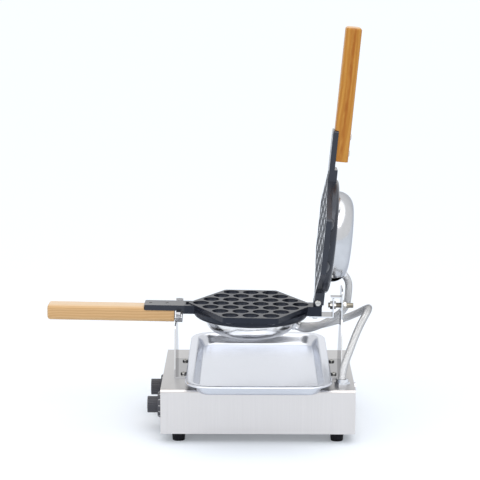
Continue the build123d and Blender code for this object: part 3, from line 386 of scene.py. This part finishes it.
ivoryLook = {
    "scale": 500, "patch": 40,
    "dark": (0.72, 0.70, 0.64), "light": (0.80, 0.78, 0.72), "fleck": (0.66, 0.62, 0.55),
    "speck": 0.3, "rough": (0.4, 0.55), "shine": 0.5, "coat": 0.0, "bump": 0.15,
}
lampLook = {
    "scale": 300, "patch": 90,
    "dark": (0.42, 0.02, 0.012), "light": (0.60, 0.035, 0.02), "fleck": (0.7, 0.09, 0.05),
    "speck": 0.4, "rough": (0.12, 0.2), "shine": 0.6, "coat": 0.6, "bump": 0.1,
}
paintLook = {
    "scale": 1200, "patch": 90,
    "dark": (0.66, 0.66, 0.65), "light": (0.78, 0.78, 0.77), "fleck": (0.5, 0.5, 0.5),
    "speck": 0.3, "rough": (0.4, 0.55), "shine": 0.5, "coat": 0.0, "bump": 0.1,
}
lidLook = {**coatingLook, "coat": 0.6}
tangLook = {"shine": 0.45, "end": -0.115, "blend": 0.003}
grainyLooks = {
    "lidCoating": lidLook, "blackRubber": rubberLook, "knobPlastic": knobLook, "insulatorPlastic": insulatorLook,
    "ivoryPlastic": ivoryLook, "redLens": lampLook,
}
for name, look in grainyLooks.items():
    grainyMaterial(name, look)
panCoating = grainyMaterial("panCoating", coatingLook)
whitePaint = grainyMaterial("whitePaint", paintLook)


# The coating lies smoother on the lower pan's tang than on its cast land
def smoothTang(material, look):
    tree = material.node_tree
    coords = addNode(tree, "ShaderNodeTexCoord")
    place = addNode(tree, "ShaderNodeSeparateXYZ")
    tree.links.new(coords.outputs["Object"], place.inputs[0])
    coat = rangeNode(tree, place.outputs["X"], look["shine"], 0.0, look["end"] - look["blend"], look["end"])
    tree.links.new(coat, tree.nodes["Principled BSDF"].inputs["Coat Weight"])


smoothTang(panCoating, tangLook)


# Lacquered wood; turn lays the vector's X along the handle. Its top tone is a painted highlight on faces that look up
woodSetup = {
    "rings": (0.15, 0.9), "fibres": (0.4, 0.75), "flecks": (0.05, 0.3), "paintedTopRamp": (0.6, 0.97), "rough": (0.36, 0.5),
    "coatRough": 0.25, "bump": 0.08, "bumpDistance": 0.0003,
}


def woodMaterial(name, look):
    material, tree, shader = newMaterial(name)
    coords = addNode(tree, "ShaderNodeTexCoord")
    mapping = addNode(tree, "ShaderNodeMapping")
    mapping.inputs["Rotation"].default_value = (0, math.radians(look["turn"]), math.radians(look["tilt"]))
    mapping.inputs["Location"].default_value = look["shift"]
    tree.links.new(coords.outputs["Object"], mapping.inputs["Vector"])
    group = useGroup(tree, woodGroup, Rings=look["rings"])
    tree.links.new(mapping.outputs["Vector"], group.inputs["Vector"])
    rings = rangeNode(tree, group.outputs["Rings"], 0.0, 1.0, *woodSetup["rings"])
    base = mixColors(tree, rings, look["early"], look["late"])
    fibres = rangeNode(tree, group.outputs["Fibres"], 0.0, look["fibre"], *woodSetup["fibres"])
    fibred = mixColors(tree, fibres, base, look["fibreColor"])
    flecks = rangeNode(tree, group.outputs["Flecks"], look["fleck"], 0.0, *woodSetup["flecks"])
    flecked = mixColors(tree, flecks, fibred, look["fleckColor"])
    heart = rangeNode(tree, group.outputs["Heart"], 0.0, look["heart"], 0.0, 1.0)
    hearted = mixColors(tree, heart, flecked, look["heartColor"])
    # Painted highlight: faces that look up are mixed toward a pale top tone
    paintedTopRamp = paintedTopMask(tree, coords, look["topShade"], woodSetup["paintedTopRamp"])
    color = mixColors(tree, paintedTopRamp, hearted, look["top"])
    tree.links.new(color, shader.inputs["Base Color"])
    rough = rangeNode(tree, group.outputs["Fibres"], *woodSetup["rough"])
    tree.links.new(rough, shader.inputs["Roughness"])
    shader.inputs["Specular IOR Level"].default_value = look["shine"]
    shader.inputs["Coat Weight"].default_value = look["coat"]
    shader.inputs["Coat Roughness"].default_value = woodSetup["coatRough"]
    bumpNode(tree, group.outputs["Fibres"], shader, woodSetup["bump"], woodSetup["bumpDistance"])
    return material


paleBeech = {
    "turn": 0.9, "tilt": 0.6, "shift": (0.0, 0.030, -0.1685), "rings": 88,
    "early": (0.70, 0.435, 0.195), "late": (0.60, 0.345, 0.135), "fibre": 0.35, "fibreColor": (0.52, 0.28, 0.10),
    "fleck": 0.22, "fleckColor": (0.50, 0.26, 0.10), "shine": 0.5, "coat": 0.3, "heart": 0.15,
    "heartColor": (0.52, 0.28, 0.10), "top": (0.92, 0.76, 0.56), "topShade": 0.4,
}
warmBeech = {
    "turn": 84.6, "tilt": 2.5, "shift": (0.0, -0.0100, 0.0868), "rings": 52,
    "early": (0.60, 0.285, 0.050), "late": (0.51, 0.21, 0.027), "fibre": 0.5, "fibreColor": (0.36, 0.125, 0.012),
    "fleck": 0.3, "fleckColor": (0.28, 0.09, 0.010), "shine": 0.25, "coat": 0.1, "heart": 0.85,
    "heartColor": (0.36, 0.105, 0.006), "top": (0.93, 0.70, 0.46), "topShade": 0.6,
}
woodMaterial("lowerBeech", paleBeech)
woodMaterial("upperBeech", warmBeech)


# Steel braid: two sets of crossing strands over the hose's own UV map, with painted shade in the gaps between them
braidLook = {
    "around": 10, "along": 10, "dark": (0.10, 0.10, 0.105), "light": (0.92, 0.92, 0.925), "rough": 0.20,
    "edge": (0.25, 0.25, 0.26), "shade": (-0.7, 0.2), "bump": 0.8, "bumpDistance": 0.0008,
}


def braidMaterial(look):
    material, tree, shader = newMaterial("steelBraid")
    link = tree.links.new
    uv = addNode(tree, "ShaderNodeUVMap")
    split = addNode(tree, "ShaderNodeSeparateXYZ")
    link(uv.outputs["UV"], split.inputs[0])
    strands = []
    for side in (1, -1):
        along = addNode(tree, "ShaderNodeMath", operation="MULTIPLY")
        along.inputs[1].default_value = look["along"]
        link(split.outputs["X"], along.inputs[0])
        both = addNode(tree, "ShaderNodeMath", operation="MULTIPLY_ADD")
        both.inputs[1].default_value = look["around"] * side
        link(split.outputs["Y"], both.inputs[0])
        link(along.outputs[0], both.inputs[2])
        turn = addNode(tree, "ShaderNodeMath", operation="MULTIPLY")
        turn.inputs[1].default_value = 2 * math.pi
        link(both.outputs[0], turn.inputs[0])
        wave = addNode(tree, "ShaderNodeMath", operation="SINE")
        link(turn.outputs[0], wave.inputs[0])
        strands.append(wave)
    product = addNode(tree, "ShaderNodeMath", operation="MULTIPLY")
    link(strands[0].outputs[0], product.inputs[0])
    link(strands[1].outputs[0], product.inputs[1])
    height = rangeNode(tree, product.outputs[0], 0.0, 1.0, -1.0, 1.0)
    shade = rangeNode(tree, product.outputs[0], 0.0, 1.0, *look["shade"])
    link(mixColors(tree, shade, look["dark"], look["light"]), shader.inputs["Base Color"])
    shader.inputs["Metallic"].default_value = 1.0
    shader.inputs["Roughness"].default_value = look["rough"]
    shader.inputs["Specular Tint"].default_value = (*look["edge"], 1)
    bumpNode(tree, height, shader, look["bump"], look["bumpDistance"])
    return material


steelBraid = braidMaterial(braidLook)
print("materials made")

# Which finish each CAD node gets
finishes = {
    "brushedSteel": ["base_casing", "front_panel", "rear_panel", "bottom_plate"],
    "polishedSteel": ["front_upright", "rear_upright", "cradle_runner", "swivel_strap",
                      "lower_clamps", "upper_clamps"],
    "traySteel": ["drip_tray"],
    "domeAluminium": ["upper_cover"],
    "domeAluminiumPaintedLight": ["lower_cover"],
    "panCoating": ["lower_pan"],
    "lidCoating": ["upper_pan"],
    "lowerBeech": ["lower_handle"],
    "upperBeech": ["upper_handle"],
    "blackRubber": ["rubber_feet"],
    "knobPlastic": ["thermostat_knob", "timer_knob"],
    "insulatorPlastic": ["thermostat_body", "timer_body"],
    "ivoryPlastic": ["terminal_block"],
    "redLens": ["pilot_lamps"],
    "zincSteel": ["foot_screws", "bottom_screws", "works_nuts", "base_gland_nut", "upright_screws",
                  "lower_handle_screws", "upper_handle_screws", "lower_clamp_screws", "upper_clamp_screws",
                  "lower_cover_screws", "upper_cover_screws", "strap_screws", "axle_nuts", "axle_washer",
                  "hinge_pin", "hinge_nut", "lower_earth_stud", "upper_earth_stud",
                  "thermostat_shaft", "timer_shaft"],
    "nickelPlate": ["base_gland", "inlet_gland", "lower_cover_glands", "upper_cover_glands"],
    "satinPlate": ["front_cradle"],
    "dullBrass": ["axle_stud", "axle_bush"],
    "heaterSheath": ["lower_heater", "upper_heater"],
    "steelBraid": ["hose_base", "hose_lid"],
}
for finish, names in finishes.items():
    for name in names:
        for slot in cadNodes[name].material_slots:
            slot.material = bpy.data.materials[finish]
print("finishes given")

# Drip tray pressed from one sheet: rolled rim, filleted walls, flat floor
traySetup = {
    "middle": (0.001, 0.0), "length": 0.350, "width": 0.225, "corner": 0.040, "segments": 16, "start": 0.1012,
    "rim": [(0.0003, 0.0014), (0.0008, 0.0009), (0.0010, 0.0005), (0.0084, 0.0)],
    "wall": {"steps": 12, "run": 0.0120, "drop": 0.0170}, "floorEdge": (0.0010, 0.0),
    "sheet": 0.001,
}


def finishPiece(name, bm, material, body=None, smooth=True):
    mesh = bpy.data.meshes.new(name)
    bm.to_mesh(mesh)
    bm.free()
    piece = bpy.data.objects.new(name, mesh)
    bpy.context.collection.objects.link(piece)
    mesh.materials.append(material)
    for polygon in mesh.polygons:
        polygon.use_smooth = smooth
    if body:
        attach(piece, body)
    return piece


def makeTray(look):
    bm = bmesh.new()
    bmesh.ops.create_grid(bm, x_segments=1, y_segments=1, size=0.5)
    bmesh.ops.scale(bm, vec=(look["width"], look["length"], 1), verts=bm.verts)
    bmesh.ops.translate(bm, vec=(*look["middle"], look["start"]), verts=bm.verts)
    bmesh.ops.bevel(
        bm, geom=list(bm.verts), offset=look["corner"], segments=look["segments"], profile=0.5, affect="VERTICES",
        material=-1,
    )
    bm.faces.ensure_lookup_table()
    outline = bm.faces[0]
    wall = look["wall"]
    parts = [count / wall["steps"] for count in range(wall["steps"] + 1)]
    curve = [part * part * (3 - 2 * part) for part in parts]
    fall = [(wall["run"] / wall["steps"], wall["drop"] * (high - low)) for high, low in zip(curve, curve[1:])]
    for thickness, depth in look["rim"] + fall + [look["floorEdge"]]:
        bmesh.ops.inset_individual(bm, faces=[outline], thickness=thickness, depth=depth, use_even_offset=True)
    piece = finishPiece("pressedTray", bm, traySteel)
    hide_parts("drip_tray")
    sheet = piece.modifiers.new("sheet", "SOLIDIFY")
    sheet.thickness = look["sheet"]
    sheet.offset = -1
    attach(piece, "drip_tray")
    print("tray", [round(value, 4) for value in (*piece.bound_box[0], *piece.bound_box[6])], len(piece.data.polygons))


makeTray(traySetup)

# Braided hoses along the routes of the solids
hoseSetup = {"radius": 0.00575, "order": 3, "steps": 12, "roundness": 8}
baseHose = {
    "name": "braidedBaseHose", "node": "hose_base", "bodies": ("base", "lower_pan"),
    "points": [
        (0.1307, -0.0965, 0.0970), (0.1307, -0.0965, 0.1100), (0.1430, -0.0800, 0.1380), (0.1570, -0.0550, 0.1670),
        (0.1760, -0.0240, 0.1920), (0.1760, 0.0140, 0.1840), (0.1580, 0.0520, 0.1640), (0.1280, 0.0620, 0.1500),
        (0.0960, 0.0580, 0.1430), (0.06497, 0.0445, 0.14644), (0.05458, 0.03844, 0.1536),
    ],
}
lidHose = {
    "name": "braidedLidHose", "node": "hose_lid", "bodies": ("lower_pan", "lid"),
    "points": [
        (0.06413, 0.0107, 0.15345), (0.07432, 0.01215, 0.14729), (0.0980, 0.0360, 0.1480), (0.1220, 0.0460, 0.1580),
        (0.1430, 0.0380, 0.1780), (0.1460, 0.0310, 0.2040), (0.14643, 0.02993, 0.22585), (0.13872, 0.02675, 0.23448),
    ],
}


def makeHose(look, setup):
    curve = bpy.data.curves.new(look["name"], "CURVE")
    curve.dimensions = "3D"
    curve.resolution_u = setup["steps"]
    spline = curve.splines.new("NURBS")
    spline.points.add(len(look["points"]) - 1)
    for point, place in zip(spline.points, look["points"]):
        point.co = (*place, 1.0)
    spline.order_u = setup["order"]
    spline.use_endpoint_u = True
    route = bpy.data.objects.new(look["name"] + "Route", curve)
    line = bpy.data.meshes.new_from_object(route)
    path = [vertex.co.copy() for vertex in line.vertices]
    length = sum((after - before).length for before, after in zip(path, path[1:]))
    curve.bevel_depth = setup["radius"]
    curve.bevel_resolution = setup["roundness"]
    curve.use_fill_caps = True
    mesh = bpy.data.meshes.new_from_object(route)
    mesh.name = look["name"]
    bpy.data.objects.remove(route)
    piece = bpy.data.objects.new(look["name"], mesh)
    bpy.context.collection.objects.link(piece)
    mesh.materials.clear()
    mesh.materials.append(steelBraid)
    for polygon in mesh.polygons:
        polygon.use_smooth = True
    # The map's own unit is once round the hose in both directions, so the braid is even on both hoses
    for corner in mesh.uv_layers[0].data:
        corner.uv.x *= length / (2 * math.pi * setup["radius"])
    print(look["name"], "length", round(length, 4), "uv", [layer.name for layer in mesh.uv_layers])
    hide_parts(look["node"])
    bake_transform(piece)


makeHose(baseHose, hoseSetup)
makeHose(lidHose, hoseSetup)
print("tray and hoses made")

# White scale painted on the skirts of the knobs
scaleSetup = {
    "ring": 0.0206, "reach": 0.1548, "marks": 11, "span": 270, "size": (0.0003, 0.0009, 0.0045), "height": 0.0415,
    "knobs": (("thermostat_knob", -0.0513), ("timer_knob", 0.0513)), "slope": 61.9,
    "longEvery": 5, "short": 0.7,
}


def makeScale(look, node, y):
    bm = bmesh.new()
    for mark in range(look["marks"]):
        cube = bmesh.ops.create_cube(bm, size=1.0)
        angle = math.radians(-look["span"] / 2 + look["span"] * mark / (look["marks"] - 1))
        share = 1.0 if mark % look["longEvery"] == 0 else look["short"]
        place = (
            Matrix.Translation((-look["reach"], y, look["height"]))
            @ Matrix.Rotation(angle, 4, "X")
            @ Matrix.Translation((0, 0, look["ring"]))
            @ Matrix.Rotation(math.radians(look["slope"]), 4, "Y")
            @ Matrix.Diagonal((look["size"][0], look["size"][1], look["size"][2] * share, 1))
        )
        bmesh.ops.transform(bm, matrix=place, verts=cube["verts"])
    finishPiece(node + "Scale", bm, whitePaint, node, smooth=False)


for node, y in scaleSetup["knobs"]:
    makeScale(scaleSetup, node, y)
print("knob scales made")


# Light: a room that the camera and shiny or clear surfaces see at full white, and that lights the rest less
lightSetup = {
    "room": (0.93, 0.96, 1.0), "roomStrength": 0.74, "white": (1.0, 1.0, 1.0), "floor": (0.79, 0.82, 0.86),
    "glow": (0.92, 0.96, 1.0), "glowStrength": 0.16, "floorSize": 60.0,
    "floorRough": 0.9,
}


def makeRoom(look):
    world = bpy.data.worlds.new("whiteRoom")
    world.use_nodes = True
    bpy.context.scene.world = world
    tree = world.node_tree
    link = tree.links.new
    out = tree.nodes["World Output"]
    room = tree.nodes["Background"]
    room.inputs["Color"].default_value = (*look["room"], 1)
    room.inputs["Strength"].default_value = look["roomStrength"]
    white = addNode(tree, "ShaderNodeBackground")
    white.inputs["Color"].default_value = (*look["white"], 1)
    mix = addNode(tree, "ShaderNodeMixShader")
    link(seenRays(tree), mix.inputs[0])
    link(room.outputs[0], mix.inputs[1])
    link(white.outputs[0], mix.inputs[2])
    link(mix.outputs[0], out.inputs["Surface"])


def makeFloor(look):
    mesh = bpy.data.meshes.new("floor")
    bm = bmesh.new()
    bmesh.ops.create_grid(bm, x_segments=1, y_segments=1, size=look["floorSize"])
    bm.to_mesh(mesh)
    bm.free()
    floor = bpy.data.objects.new("floor", mesh)
    bpy.context.collection.objects.link(floor)
    material, tree, shader = newMaterial("paleFloor")
    link = tree.links.new
    out = tree.nodes["Material Output"]
    shader.inputs["Base Color"].default_value = (*look["floor"], 1)
    shader.inputs["Roughness"].default_value = look["floorRough"]
    shader.inputs["Specular IOR Level"].default_value = 0.0
    glow = addNode(tree, "ShaderNodeEmission")
    glow.inputs["Color"].default_value = (*look["glow"], 1)
    strength = addNode(tree, "ShaderNodeMath", operation="MULTIPLY")
    strength.inputs[1].default_value = look["glowStrength"]
    link(seenRays(tree), strength.inputs[0])
    link(strength.outputs[0], glow.inputs["Strength"])
    both = addNode(tree, "ShaderNodeAddShader")
    link(shader.outputs[0], both.inputs[0])
    link(glow.outputs[0], both.inputs[1])
    link(both.outputs[0], out.inputs["Surface"])
    mesh.materials.append(material)


lamps = [
    {"name": "topSun", "kind": "SUN", "place": (0.2, -0.5, 2.2), "aim": (0, 0, 0), "level": 1.12, "angle": 80},
    {"name": "leftSoftbox", "kind": "AREA", "place": (-1.9, -1.3, 1.3), "aim": (0, 0, 0.25), "level": 5, "size": 1.3},
    {"name": "rightSoftbox", "kind": "AREA", "place": (0.5, -1.5, 1.9), "aim": (0.1, 0, 0.35), "level": 6,
     "size": 1.0},
]


def makeLamp(look):
    data = bpy.data.lights.new(look["name"], look["kind"])
    data.energy = look["level"]
    if look["kind"] == "SUN":
        data.angle = math.radians(look["angle"])
    else:
        data.size = look["size"]
    light = bpy.data.objects.new(look["name"], data)
    bpy.context.collection.objects.link(light)
    place = Vector(look["place"])
    turn = (Vector(look["aim"]) - place).to_track_quat("-Z", "Y")
    light.matrix_world = Matrix.Translation(place) @ turn.to_matrix().to_4x4()


makeRoom(lightSetup)
makeFloor(lightSetup)
for lamp in lamps:
    makeLamp(lamp)
bpy.context.scene.view_settings.view_transform = "Standard"
print("room and lamps set")
